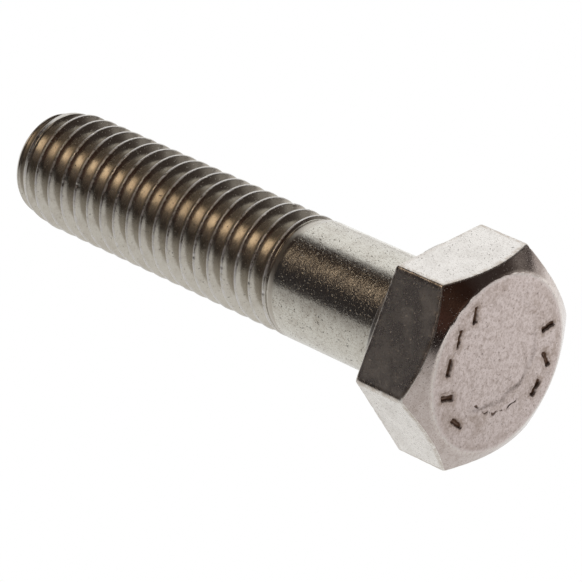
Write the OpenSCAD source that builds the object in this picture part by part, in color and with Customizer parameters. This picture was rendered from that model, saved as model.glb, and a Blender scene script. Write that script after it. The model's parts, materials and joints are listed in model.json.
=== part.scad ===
// Hexagon head bolt, M8 x 35, partly threaded, lying on its side.
// One forged and rolled piece, drawn as its named portions, which meet face to face.
// The axis lies along X: the head is towards +X and the point towards -X.
// The origin is the centre of the bearing face under the head, and +Z is the way the top flat faces.

/* [Head] */
// Wrench size: the distance between two opposite flats
across_flats = 12.8; // [12.7:0.05:13]
// From the bearing face to the top of the head, with the washer face
head_height = 5.4; // [5.15:0.05:5.5]
// Diameter of the flat circle that the corner chamfer leaves on the top
top_circle = 11.5; // [11:0.1:12]
// Slope of the corner chamfer from the top of the head
chamfer_angle = 34; // [20:1:35]
// Diameter of the round washer face under the head
washer_diameter = 12.1; // [11.6:0.1:12.6]
// Height of the washer face
washer_height = 0.5; // [0.2:0.05:0.6]
// Radius of the fillet between the washer face and the shank
fillet_radius = 0.4; // [0.4:0.05:0.6]

/* [Head markings] */
// Diameter of the shallow pressed disc in the top
dish_diameter = 7.2; // [6:0.1:8]
// How far the disc's centre lies from the axis towards +Y
dish_side = -0.2; // [-1:0.1:1]
// How far the disc's centre lies from the axis towards +Z
dish_rise = 0.9; // [-1:0.1:1]
// Depth of the pressed disc
dish_depth = 0.1; // [0.05:0.01:0.2]
// Distance of the pressed bars from the axis
mark_radius = 4.5; // [4.4:0.1:4.8]
// Length of one pressed bar
mark_length = 1.1; // [0.6:0.1:1.4]
// Width of one pressed bar
mark_width = 0.26; // [0.2:0.02:0.4]
// Depth of one pressed bar
mark_depth = 0.14; // [0.08:0.01:0.2]

/* [Shank] */
// Diameter of the plain shank
shank_diameter = 7.9; // [7.8:0.02:8]
// From the bearing face to the start of the run-out
plain_length = 10; // [8:0.1:12]
// From the bearing face to the end of the point
bolt_length = 35; // [30:5:60]

/* [Thread] */
// Axial distance from one crest to the next
thread_pitch = 1.25; // [1.25:0.05:1.5]
// Length of the shoulder where the last groove runs out
runout_length = 2.2; // [1.8:0.1:2.6]
// Radius of the rounded shoulder
shoulder_radius = 2.1; // [1.3:0.1:2.5]
// Length of the point, where the thread is incomplete
point_length = 2.5; // [1.5:0.25:2.5]
// Diameter of the flat end of the point
point_diameter = 6; // [5.8:0.1:6.4]
// Slope of the point's chamfer to the axis
point_angle = 45; // [40:1:50]
// Diameter where the chamfer ends and a slow taper leads up to the full thread
taper_diameter = 7; // [6.6:0.1:7.8]
// Angle between a thread flank and a plane across the axis
flank_angle = 30; // [28:1:31]
// Place along the axis of the crest that crosses the +Y side, which sets how far round the thread starts
crest_place = -14; // [-15:0.01:-13.75]

/* [Quality] */
// Number of sides round the thread
thread_sides = 40; // [24:4:48]
// Smoothness of the round portions
$fn = 96; // [48:16:144]

/* [Hidden] */

corner_radius = across_flats / sqrt(3);
shank_radius = shank_diameter / 2;
fillet_edge = shank_radius + fillet_radius;
blank_margin = 1;
washer_edge = washer_height / 5;
crest_flat = thread_pitch / 8;
// The standard depth of an external thread, as a share of the pitch
depth_share = 0.6134;
thread_depth = depth_share * thread_pitch;
point_radius = point_diameter / 2;
taper_radius = taper_diameter / 2;

point_end = -bolt_length;
thread_start = point_end + point_length;
taper_start = point_end + (taper_radius - point_radius) / tan(point_angle);
taper_slope = (shank_radius - taper_radius) / (thread_start - taper_start);
thread_end = -plain_length - runout_length;
shoulder_end = -plain_length;

// Where each pressed bar sits: its angle round the top, and how far it is turned from the tangent
bar_places = [[115, 60], [138, 25], [161, 0], [187, 65], [215, 10], [10, 90], [342, 40], [318, 0]];

// The rows of points in one pitch: the edges of the crest, the two edges of the root and its middle
flank_run = thread_depth * tan(flank_angle);
profile_rows = [-crest_flat / 2, crest_flat / 2, crest_flat / 2 + flank_run, thread_pitch / 2,
                thread_pitch - crest_flat / 2 - flank_run];
// Even rows, for the point and the run-out
fine_count = 16;
fine_rows = [for (i = [0 : fine_count - 1]) i * thread_pitch / fine_count];
// A row nearer to an end face than this becomes part of that face's rim
rim_snap = 0.012;
// A cutter stands out of the face it cuts by this much
clear = 0.2;

// ---- shapes that several portions share ----

// Turns a shape that is drawn along Z so that it lies along the bolt's axis, starting at x
module on_axis(x) {
    translate([x, 0, 0])
        rotate([0, 90, 0])
            children();
}

// A bar pressed into the top of the head, centred on the circle of marks
module pressed_bar(place, turn) {
    rotate([place, 0, 0])
        translate([head_height - mark_depth, mark_radius, 0])
            rotate([turn, 0, 0])
                translate([0, -mark_width / 2, -mark_length / 2])
                    cube([mark_depth + clear, mark_width, mark_length]);
}

// ---- the thread's surface, as a radius at a place x along the axis and an angle a round it ----

// Distance along the axis from the nearest crest of the right-hand helix
function from_crest(x, a) =
    let (turns = (x - crest_place) / thread_pitch - a / 360)
    thread_pitch * abs(turns - round(turns));

function groove_depth(distance) =
    max(0, min(thread_depth, (distance - crest_flat / 2) / tan(flank_angle)));

// The shoulder falls away from the plain shank along an arc
function shoulder_r(x) =
    let (back = max(0, shoulder_end - x))
    back >= shoulder_radius ? 0
        : shank_radius - shoulder_radius + sqrt(pow(shoulder_radius, 2) - pow(back, 2));

// The point rises from its flat end up the chamfer and then up the slower taper
function point_r(x) =
    min(point_radius + (x - point_end) * tan(point_angle),
        taper_radius + (x - taper_start) * taper_slope);

function surface_r(x, a) =
    min(point_r(x), max(shank_radius - groove_depth(from_crest(x, a)), shoulder_r(x)));

// One point of the surface
function surface_point(x, a) =
    let (r = surface_r(x, a))
    [x, r * cos(a), r * sin(a)];

// A stretch of thread between two planes across the axis.
// Its rows of points follow the helix, and a row that reaches an end plane joins that plane's rim.
module threaded_stretch(low, high, rows) {
    count = len(rows);
    first_turn = floor((low - crest_place) / thread_pitch) - 2;
    last_turn = ceil((high - crest_place) / thread_pitch) + 1;
    row_total = (last_turn - first_turn) * count;
    step = 360 / thread_sides;
    grid_start = 2 * thread_sides + 2;

    function row_x(i, j) =
        crest_place + rows[i % count]
        + thread_pitch * (first_turn + floor(i / count) + j / thread_sides);
    function index(i, j) =
        j == thread_sides ? index(i + count, 0)
            : row_x(i, j) < low + rim_snap ? j
            : row_x(i, j) > high - rim_snap ? thread_sides + j
            : grid_start + i * thread_sides + j;
    function triangle(a, b, c) = a == b || b == c || a == c ? [] : [[a, b, c]];
    function quad(i, j) = [
        each triangle(index(i, j), index(i + 1, j), index(i + 1, j + 1)),
        each triangle(index(i, j), index(i + 1, j + 1), index(i, j + 1))
    ];

    columns = [0 : thread_sides - 1];
    low_rim = [for (j = columns) surface_point(low, j * step)];
    high_rim = [for (j = columns) surface_point(high, j * step)];
    grid = [for (i = [0 : row_total - 1]) for (j = columns) surface_point(row_x(i, j), j * step)];
    side = [for (i = [0 : row_total - 2]) for (j = columns) each quad(i, j)];
    low_face = [for (j = columns) [2 * thread_sides, j, (j + 1) % thread_sides]];
    high_face = [for (j = columns)
        [2 * thread_sides + 1, thread_sides + (j + 1) % thread_sides, thread_sides + j]];

    polyhedron(
        points = concat(low_rim, high_rim, [[low, 0, 0], [high, 0, 0]], grid),
        faces = concat(side, low_face, high_face)
    );
}

// ---- the portions of the bolt ----

// The hexagon, with its corners chamfered at the top, the pressed disc and the pressed bars
module hex_head() {
    hexagon_height = head_height - washer_height;
    blank_radius = corner_radius + blank_margin;
    rim_height = hexagon_height - (blank_radius - top_circle / 2) * tan(chamfer_angle);
    color([0.72, 0.69, 0.67])
        difference() {
            intersection() {
                on_axis(washer_height)
                    rotate(30)
                        cylinder(r = corner_radius, h = hexagon_height, $fn = 6);
                on_axis(washer_height)
                    rotate_extrude()
                        polygon([[0, 0], [blank_radius, 0], [blank_radius, rim_height],
                                 [top_circle / 2, hexagon_height], [0, hexagon_height]]);
            }
            translate([0, dish_side, dish_rise])
                on_axis(head_height - dish_depth)
                    cylinder(d1 = dish_diameter - 2 * dish_depth, d2 = dish_diameter + 2 * clear,
                             h = dish_depth + clear);
            for (bar = bar_places)
                pressed_bar(bar[0], bar[1]);
        }
}

// The flat ring that bears on the joint, with a broken outer edge
module washer_face() {
    radius = washer_diameter / 2;
    color([0.78, 0.76, 0.73])
        on_axis(0)
            rotate_extrude()
                polygon([[fillet_edge, 0], [radius - washer_edge, 0], [radius, washer_edge],
                         [radius, washer_height], [fillet_edge, washer_height]]);
}

// The fillet between the shank and the washer face, with the disc of metal behind it
module head_fillet() {
    arc_steps = 8;
    color([0.66, 0.63, 0.6])
        on_axis(-fillet_radius)
            rotate_extrude()
                polygon([
                    [0, fillet_radius + washer_height],
                    [0, 0],
                    for (i = [0 : arc_steps])
                        [shank_radius + fillet_radius * (1 - cos(90 * i / arc_steps)),
                         fillet_radius * sin(90 * i / arc_steps)],
                    [fillet_edge, fillet_radius + washer_height]
                ]);
}

// The unthreaded stretch, from the run-out to the fillet
module plain_shank() {
    color([0.7, 0.68, 0.65])
        on_axis(shoulder_end)
            cylinder(r = shank_radius, h = plain_length - fillet_radius);
}

// The rounded shoulder where the last groove ends
module thread_runout() {
    color([0.62, 0.58, 0.54])
        threaded_stretch(thread_end, shoulder_end, fine_rows);
}

// The full thread
module rolled_thread() {
    color([0.55, 0.5, 0.45])
        threaded_stretch(thread_start, thread_end, profile_rows);
}

// The chamfered end, where the thread starts
module chamfered_point() {
    color([0.58, 0.54, 0.5])
        threaded_stretch(point_end, thread_start, fine_rows);
}

hex_head();
washer_face();
head_fillet();
plain_shank();
thread_runout();
rolled_thread();
chamfered_point();
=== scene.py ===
"""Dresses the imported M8 x 35 hexagon head bolt and sets it on a white table.

The bolt's axis lies along X with the head towards +X, and the origin is the centre of the bearing
face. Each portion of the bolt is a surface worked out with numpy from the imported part's own boxes.
Lengths are in metres. An angle round the axis is measured from +Y towards +Z.
"""

from __future__ import annotations

import json
import logging
import math
from dataclasses import dataclass, field
from enum import Enum, IntEnum

import bpy
import numpy as np
from mathutils import Matrix, Vector

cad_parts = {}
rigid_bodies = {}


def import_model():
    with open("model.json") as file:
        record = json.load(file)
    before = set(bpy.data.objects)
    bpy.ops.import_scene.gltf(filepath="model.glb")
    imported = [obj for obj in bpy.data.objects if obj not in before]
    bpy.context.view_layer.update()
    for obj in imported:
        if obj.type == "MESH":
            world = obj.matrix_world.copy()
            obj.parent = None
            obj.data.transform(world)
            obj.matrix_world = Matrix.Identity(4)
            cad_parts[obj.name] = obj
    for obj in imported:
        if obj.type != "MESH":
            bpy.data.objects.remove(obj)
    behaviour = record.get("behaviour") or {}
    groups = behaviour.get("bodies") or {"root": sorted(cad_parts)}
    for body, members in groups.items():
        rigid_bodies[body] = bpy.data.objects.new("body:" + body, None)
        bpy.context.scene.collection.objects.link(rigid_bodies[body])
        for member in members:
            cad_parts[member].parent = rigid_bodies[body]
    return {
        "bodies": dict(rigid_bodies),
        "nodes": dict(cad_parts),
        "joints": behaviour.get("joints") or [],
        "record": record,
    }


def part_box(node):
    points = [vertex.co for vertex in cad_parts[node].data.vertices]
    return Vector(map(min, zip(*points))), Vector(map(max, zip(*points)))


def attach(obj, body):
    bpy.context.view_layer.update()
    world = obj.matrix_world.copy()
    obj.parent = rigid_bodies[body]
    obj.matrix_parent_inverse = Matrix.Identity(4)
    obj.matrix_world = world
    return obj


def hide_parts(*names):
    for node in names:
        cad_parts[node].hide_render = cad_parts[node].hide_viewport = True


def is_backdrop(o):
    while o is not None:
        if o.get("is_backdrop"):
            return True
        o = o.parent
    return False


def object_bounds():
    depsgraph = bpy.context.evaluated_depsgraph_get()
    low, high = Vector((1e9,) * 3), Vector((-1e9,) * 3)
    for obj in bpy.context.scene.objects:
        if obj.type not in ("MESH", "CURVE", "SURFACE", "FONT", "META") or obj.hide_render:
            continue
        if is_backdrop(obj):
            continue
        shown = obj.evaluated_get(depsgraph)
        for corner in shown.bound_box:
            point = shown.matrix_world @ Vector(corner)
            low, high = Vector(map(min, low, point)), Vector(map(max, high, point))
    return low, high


LOG = logging.getLogger("bolt")
MM = 0.001
BODY = "root"
FULL_TURN = 2 * math.pi
SIXTH = FULL_TURN / 6
Triple = tuple[float, float, float]
Colour = tuple[float, float, float]


# ---------------------------------------------------------------- shader nodes


class Sock:
    """A shader value that Python's operators combine into Math nodes."""

    def __init__(self, nodes: Nodes, socket: bpy.types.NodeSocket) -> None:
        """Wraps one output socket.

        Args:
            nodes: the nodes that the socket belongs to.
            socket: the output socket.
        """
        self.nodes = nodes
        self.socket = socket

    def _math(self, operation: str, first: Sock | float, second: Sock | float) -> Sock:
        """Adds one Math node.

        Args:
            operation: the Math node's operation.
            first: its first input.
            second: its second input.

        Returns:
            The node's result.
        """
        return self.nodes.add("Math", {"operation": operation}, {0: first, 1: second})

    def __add__(self, other: Sock | float) -> Sock:
        """The sum."""
        return self._math("ADD", self, other)

    __radd__ = __add__

    def __sub__(self, other: Sock | float) -> Sock:
        """The difference."""
        return self._math("SUBTRACT", self, other)

    def __rsub__(self, other: float) -> Sock:
        """A number less this value."""
        return self._math("SUBTRACT", other, self)

    def __mul__(self, other: Sock | float) -> Sock:
        """The product."""
        return self._math("MULTIPLY", self, other)

    __rmul__ = __mul__

    def __truediv__(self, other: Sock | float) -> Sock:
        """The quotient."""
        return self._math("DIVIDE", self, other)

    def __rtruediv__(self, other: float) -> Sock:
        """A number over this value."""
        return self._math("DIVIDE", other, self)

    def __pow__(self, other: Sock | float) -> Sock:
        """The power."""
        return self._math("POWER", self, other)

    def __rpow__(self, other: float) -> Sock:
        """A number to the power of this value."""
        return self._math("POWER", other, self)

    def step(self, low: float, high: float) -> Sock:
        """Rises smoothly from 0 at low to 1 at high, or falls where low is the larger.

        Args:
            low: the value where the result is 0.
            high: the value where the result is 1.

        Returns:
            The smooth step.
        """
        return self.nodes.add("MapRange", {"interpolation_type": "SMOOTHSTEP"},
                              {"Value": self, "From Min": low, "From Max": high})


class Nodes:
    """Adds nodes to one tree."""

    def __init__(self, tree: bpy.types.NodeTree) -> None:
        """Empties the tree.

        Args:
            tree: the node tree to fill.
        """
        self.tree = tree
        tree.nodes.clear()

    def add(self, kind: str, settings: dict | None = None, inputs: dict | None = None,
            output: str | int = 0) -> Sock | None:
        """Adds one node of any kind.

        Args:
            kind: the node's type without its ShaderNode prefix.
            settings: properties to set first.
            inputs: values or links by socket name or number.
            output: the name or number of the output to return.

        Returns:
            The chosen output, or None for a node without outputs.
        """
        node = self.tree.nodes.new("ShaderNode" + kind)
        for key, value in (settings or {}).items():
            setattr(node, key, value)
        for key, value in (inputs or {}).items():
            if isinstance(value, Sock):
                self.tree.links.new(value.socket, node.inputs[key])
            else:
                node.inputs[key].default_value = value
        return Sock(self, node.outputs[output]) if len(node.outputs) else None

    def mix(self, factor: Sock | float, first: Sock | Colour, second: Sock | Colour) -> Sock:
        """Mixes two colours.

        Args:
            factor: 0 gives the first colour and 1 the second.
            first: a colour or a link to one.
            second: a colour or a link to one.

        Returns:
            The mixed colour.
        """
        first = first if isinstance(first, Sock) else (*first, 1.0)
        second = second if isinstance(second, Sock) else (*second, 1.0)
        return self.add("Mix", {"data_type": "RGBA"}, {0: factor, 6: first, 7: second}, 2)

    def place(self, stretch: Triple = (1, 1, 1), turn: Triple = (0, 0, 0)) -> Sock:
        """The piece's own coordinates, turned and then shrunk.

        Args:
            stretch: how many times longer things become along each turned axis.
            turn: the turn about each axis, in degrees.

        Returns:
            The coordinates.
        """
        here = self.add("TexCoord", output="Object")
        turned = self.add("Mapping", {}, {"Vector": here, "Rotation": tuple(np.radians(turn))})
        return self.add("Mapping", {}, {"Vector": turned, "Scale": tuple(1 / s for s in stretch)})

    def noise(self, size: float, where: Sock | None = None, detail: float = 2.0,
              rough: float = 0.5) -> Sock:
        """Noise with blobs of a given size.

        Args:
            size: the size of a blob, in metres.
            where: the coordinates, or None for the piece's own.
            detail: how many finer layers are added.
            rough: how strong the finer layers are.

        Returns:
            The noise, about 0.5 on average.
        """
        return self.add("TexNoise", {}, {"Vector": where or self.place(), "Scale": 1 / size,
                                         "Detail": detail, "Roughness": rough})


# ---------------------------------------------------------------- finishes


# Noise is about 0.5 on average. A mark starts and is full where it passes these two values, and
# the third is how far a pit's two values and a scratch's first fall as more marks are asked for
PIT_LEVEL = (0.72, 0.78, 0.1)
SCRATCH_LEVEL = (0.68, 0.74, 0.08)
PATCH_LEVEL = (0.4, 0.7)
GRAIN_LEVEL = (0.5, 0.72)
HALO_LEVEL = (0.3, 0.6)
WEAR_LEVEL = (0.35, 0.6)

# Pits are a little longer one way, and scratches are fine lines in three directions
PIT_STRETCH, PIT_TURN = (1.8, 1, 1), (0, 25, 35)
SCRATCH_WIDTH, SCRATCH_STRETCH = 0.06 * MM, (14, 1, 1)
SCRATCH_TURNS = ((12, 8, 20), (70, -30, -40), (35, 60, 75))
HALO_SIZE = 0.22 * MM
WEAR_SIZE = 0.3 * MM

# How far a patch, rather than the grain, sets the roughness, and how much rougher marks are
PATCH_SHARE = 0.6
PIT_ROUGH = 0.2
HOLLOW_ROUGH = 0.15
# How strongly a halo stains and paints shade, and how dark the stain and painted shade in a pit are
HALO_TINT = 0.8
PIT_SHADE = 0.2


@dataclass(frozen=True)
class Steel:
    """Stainless steel as one operation leaves it.

    Attributes:
        name: the material's name.
        colour: the clean metal.
        stain_and_shade_colour: the colour of the residue in patches and hollows, which also paints
            shade in the pits and round the pressed disc's edge.
        patches: how much the patches stain, from 0 to 1.
        patch_size: the size of a patch.
        rough: the lowest and highest roughness.
        grain_size: the size of the finest bumps.
        grain_depth: how deep the finest bumps are.
        grain_stretch: how much longer a bump is along each axis.
        grain_tint: how much the finest bumps darken the metal, from 0 to 1.
        swell_size: the size of the broad bumps.
        swell_depth: how deep the broad bumps are.
        pit_size: the size of the pits.
        pits: how much of the surface the pits cover, from 0 to 1.
        pit_depth: how deep the pits are.
        pit_tint: how dark the pits are, from 0 to 1.
        scratches: how much of the surface the scratches cover, from 0 to 1.
        scratch_depth: how deep the scratches are.
        hollow: the attribute that says how deep in a pressed mark or groove a point lies.
        hollow_dirt_and_shade_colour: the colour deep in a hollow: residue and painted shade on the
            walls of the pressed bars and in the crease, and painted shade in the thread's roots.
        halo: the attribute that says how stained a point near a mark is, and how much painted shade
            lies on it round the pressed disc's edge.
        edge: the attribute that says how worn an edge is, and on the rim and the crests how strong
            the painted highlight on it is.
        edge_wear_and_highlight_colour: the colour of a worn edge, and of the painted highlight on
            the rim of the top and on the thread's crests.
        edge_rough: how much rougher a worn edge is.
    """

    name: str
    colour: Colour
    stain_and_shade_colour: Colour
    patches: float = 0.3
    patch_size: float = 1.2 * MM
    rough: tuple[float, float] = (0.2, 0.3)
    grain_size: float = 0.09 * MM
    grain_depth: float = 0.002 * MM
    grain_stretch: Triple = (1, 1, 1)
    grain_tint: float = 0.3
    swell_size: float = 0.6 * MM
    swell_depth: float = 0.004 * MM
    pit_size: float = 0.12 * MM
    pits: float = 0.4
    pit_depth: float = 0.008 * MM
    pit_tint: float = 0.4
    scratches: float = 0.3
    scratch_depth: float = 0.0006 * MM
    hollow: str = ""
    hollow_dirt_and_shade_colour: Colour = (0.1, 0.07, 0.05)
    halo: str = ""
    edge: str = ""
    edge_wear_and_highlight_colour: Colour = (0.8, 0.79, 0.77)
    edge_rough: float = -0.05

    def marks(self, nodes: Nodes) -> tuple[Sock, Sock]:
        """The pits and the scratches.

        A pit is where noise passes a threshold. A scratch is where noise that is drawn out along
        one of three directions does.

        Args:
            nodes: the material's nodes.

        Returns:
            How far each point is inside a pit and inside a scratch, from 0 to 1.
        """
        low, high, fall = PIT_LEVEL
        speck = nodes.noise(self.pit_size, nodes.place(PIT_STRETCH, PIT_TURN), detail=1.0)
        pit = speck.step(low - fall * self.pits, high - fall * self.pits)
        low, high, fall = SCRATCH_LEVEL
        lines = [nodes.noise(SCRATCH_WIDTH, nodes.place(SCRATCH_STRETCH, turn), detail=1.0)
                 for turn in SCRATCH_TURNS]
        steps = [line.step(low - fall * self.scratches, high) for line in lines]
        return pit, (steps[0] + steps[1] + steps[2]) * self.scratches

    def build(self) -> bpy.types.Material:
        """Makes the material.

        Returns:
            The finished material.
        """
        material = bpy.data.materials.new(self.name)
        material.use_nodes = True
        nodes = Nodes(material.node_tree)

        patch = nodes.noise(self.patch_size, detail=5.0, rough=0.65).step(*PATCH_LEVEL)
        fleck = nodes.noise(self.grain_size, nodes.place(self.grain_stretch), detail=3.0,
                            rough=0.6)
        pit, scratch = self.marks(nodes)

        tint = nodes.mix(patch * self.patches, self.colour, self.stain_and_shade_colour)
        tint = nodes.mix(fleck.step(*GRAIN_LEVEL) * self.grain_tint, tint, self.stain_and_shade_colour)
        # Painted shade as well as stain: pits are darkened the way their recesses would be shaded
        tint = nodes.mix(pit * self.pit_tint, tint, tuple(c * PIT_SHADE for c in self.stain_and_shade_colour))
        tint = nodes.mix(scratch * self.pit_tint, tint, self.stain_and_shade_colour)
        low, high = self.rough
        rough = (low + (high - low) * (PATCH_SHARE * patch + (1 - PATCH_SHARE) * fleck)
                 + PIT_ROUGH * pit)
        if self.halo:
            # Painted shade as well as stain: the halo also darkens the band round the pressed disc's
            # edge
            near = nodes.add("Attribute", {"attribute_name": self.halo}, output="Fac")
            ragged = near * nodes.noise(HALO_SIZE, detail=4.0, rough=0.7).step(*HALO_LEVEL)
            tint = nodes.mix(ragged * HALO_TINT, tint, self.stain_and_shade_colour)
        # Painted shade as well as residue: the hollow colour darkens the walls of the pressed bars,
        # the crease and the thread's roots, where shade falls
        if self.hollow:
            depth = nodes.add("Attribute", {"attribute_name": self.hollow}, output="Fac")
            tint = nodes.mix(depth.step(0.1, 0.9), tint, self.hollow_dirt_and_shade_colour)
            rough = rough + HOLLOW_ROUGH * depth
        # Painted highlight as well as wear: on the rim of the top and on the thread's crests, the
        # lighter edge colour stands in for the bright line that light draws on the rounded edge; on
        # the hexagon's corners it is wear
        if self.edge:
            worn = nodes.add("Attribute", {"attribute_name": self.edge}, output="Fac")
            worn = worn * nodes.noise(WEAR_SIZE, detail=4.0, rough=0.7).step(*WEAR_LEVEL)
            tint = nodes.mix(worn, tint, self.edge_wear_and_highlight_colour)
            rough = rough + self.edge_rough * worn

        swell = nodes.noise(self.swell_size, detail=2.0)
        height = (fleck * self.grain_depth + swell * self.swell_depth
                  - pit * self.pit_depth - scratch * self.scratch_depth)
        bump = nodes.add("Bump", {}, {"Height": height / MM, "Distance": MM, "Strength": 1.0})
        metal = nodes.add("BsdfPrincipled", {}, {"Base Color": tint, "Metallic": 1.0,
                                                 "Roughness": rough, "Normal": bump})
        nodes.add("OutputMaterial", {}, {"Surface": metal})
        return material


class Finish(Enum):
    """The finishes that one bolt shows."""

    # The top's bars and crease are darkened with residue and painted shade, and its rim is lightened
    # with a painted highlight
    PRESSED = Steel("pressed_top", (0.67, 0.585, 0.565), (0.35, 0.27, 0.225), patches=0.4,
                    patch_size=0.3 * MM, rough=(0.4, 0.58), grain_size=0.12 * MM,
                    grain_depth=0.009 * MM, grain_tint=0.8, swell_size=0.28 * MM,
                    swell_depth=0.014 * MM, pit_size=0.14 * MM, pits=0.3, pit_depth=0.01 * MM,
                    pit_tint=0.3, scratches=0.35, hollow="pressed",
                    hollow_dirt_and_shade_colour=(0.12, 0.068, 0.045), halo="stained_and_shaded", edge="rim",
                    edge_wear_and_highlight_colour=(0.72, 0.67, 0.64))
    # The chamfer's rim is lightened with a painted highlight
    TRIMMED = Steel("trimmed_chamfer", (0.61, 0.54, 0.51), (0.32, 0.25, 0.21), patches=0.35,
                    patch_size=0.5 * MM, rough=(0.1, 0.2), grain_size=0.1 * MM,
                    grain_depth=0.003 * MM, grain_tint=0.6, swell_depth=0.004 * MM, pits=0.4,
                    pit_depth=0.003 * MM, scratches=0.8, scratch_depth=0.0014 * MM, edge="rim",
                    edge_wear_and_highlight_colour=(0.68, 0.62, 0.58))
    DRAWN = Steel("drawn_flat", (0.91, 0.88, 0.84), (0.45, 0.41, 0.37), patches=0.15,
                  rough=(0.24, 0.38), grain_size=0.08 * MM, grain_depth=0.0045 * MM,
                  grain_stretch=(2, 1, 1), grain_tint=0.55, swell_depth=0.002 * MM, pits=0.6,
                  pit_size=0.1 * MM, pit_depth=0.003 * MM, pit_tint=0.5, scratches=0.8,
                  edge="worn", edge_wear_and_highlight_colour=(0.6, 0.54, 0.48))
    TURNED = Steel("turned_washer_face", (0.72, 0.7, 0.67), (0.4, 0.36, 0.32),
                   rough=(0.25, 0.38), grain_size=0.08 * MM, grain_depth=0.003 * MM)
    FORGED = Steel("forged_shank", (0.71, 0.69, 0.625), (0.36, 0.31, 0.255), patches=0.3,
                   patch_size=0.7 * MM, rough=(0.13, 0.24), grain_size=0.1 * MM,
                   grain_depth=0.0034 * MM, grain_tint=0.75, swell_size=0.3 * MM,
                   swell_depth=0.008 * MM, pit_size=0.13 * MM, pits=0.65,
                   pit_depth=0.008 * MM, pit_tint=0.6, scratches=0.9,
                   scratch_depth=0.0022 * MM)
    # The thread's roots are darkened with painted shade, and its crests are lightened with wear and
    # a painted highlight
    ROLLED = Steel("rolled_thread", (0.60, 0.57, 0.51), (0.36, 0.31, 0.25), patches=0.3,
                   rough=(0.14, 0.26), grain_size=0.12 * MM, grain_depth=0.002 * MM,
                   swell_depth=0.003 * MM, pits=0.3, pit_depth=0.006 * MM, scratches=0.4,
                   hollow="root", hollow_dirt_and_shade_colour=(0.52, 0.48, 0.42),
                   edge="crest", edge_wear_and_highlight_colour=(0.72, 0.7, 0.69), edge_rough=0.26)

    def material(self) -> bpy.types.Material:
        """The finish as a material, made the first time that it is asked for."""
        found = bpy.data.materials.get(self.value.name)
        return found or self.value.build()


# ---------------------------------------------------------------- meshes


class Zone(IntEnum):
    """The parts of the head that differ in finish."""

    FLAT = 0
    CHAMFER = 1
    TOP = 2


def smooth_step(value: np.ndarray, low: float, high: float) -> np.ndarray:
    """The cubic 3t^2 - 2t^3 of the share t that value has passed from low to high.

    Args:
        value: the numbers to test.
        low: where the result is 0.
        high: where the result is 1.

    Returns:
        Numbers from 0 to 1.
    """
    share = np.clip((value - low) / (high - low), 0, 1)
    return share * share * (3 - 2 * share)


def soft_min(first: np.ndarray, second: np.ndarray, blend: float) -> np.ndarray:
    """The smaller of two, with the corner rounded off where they are within blend of each other.

    The result is the smaller less h^2 * blend / 4, where h falls from 1 where the two are equal to
    0 where they are blend apart.

    Args:
        first: one array.
        second: the other array.
        blend: the difference at which rounding starts.

    Returns:
        The rounded minimum.
    """
    near = np.maximum(blend - np.abs(first - second), 0) / blend
    return np.minimum(first, second) - near * near * blend / 4


def soft_max(first: np.ndarray, second: np.ndarray, blend: float) -> np.ndarray:
    """The larger of two with its corner rounded, which is soft_min turned over."""
    return -soft_min(-first, -second, blend)


def ripple(across: np.ndarray, along: np.ndarray, size: float, seed: int) -> np.ndarray:
    """An uneven field that comes out the same each time.

    It is the sum of plane waves with random directions and phases and with lengths near the given
    size, over the square root of their number, so that it stays mostly within -1 and 1.

    Args:
        across: places along one direction.
        along: places along the other.
        size: the middle wave length.
        seed: the seed of the random numbers.

    Returns:
        One number per place.
    """
    waves = 12
    random = np.random.default_rng(seed)
    total = np.zeros(np.broadcast(across, along).shape)
    for _ in range(waves):
        direction, phase = random.uniform(0, FULL_TURN, 2)
        count = random.uniform(0.6, 1.6) * FULL_TURN / size
        total += np.sin(count * (across * math.cos(direction) + along * math.sin(direction))
                        + phase)
    return total / math.sqrt(waves)


class Wander(Enum):
    """What is uneven about the head: the wave length of each thing and the seed of its waves."""

    BAR_EDGE = (0.5 * MM, 21)
    CREASE_PATH = (0.8 * MM, 22)
    CREASE_WIDTH = (0.7 * MM, 23)
    CHIP = (0.7 * MM, 24)
    DISH_EDGE = (2 * MM, 25)
    TOP = (1.1 * MM, 26)
    BLOTCH = (2.5 * MM, 27)
    DULL = (4 * MM, 28)

    def at(self, across: np.ndarray, along: np.ndarray) -> np.ndarray:
        """The uneven field at each place, mostly from -1 to 1."""
        return ripple(across, along, *self.value)


@dataclass(frozen=True)
class Band:
    """A band of the head's outline.

    Attributes:
        points: rows by columns by (radius, x).
        zone: which of the head's finishes it has.
        worn: how worn its surface is, from 0 to 1.
    """

    points: np.ndarray
    zone: Zone
    worn: float = 0.0


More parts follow.
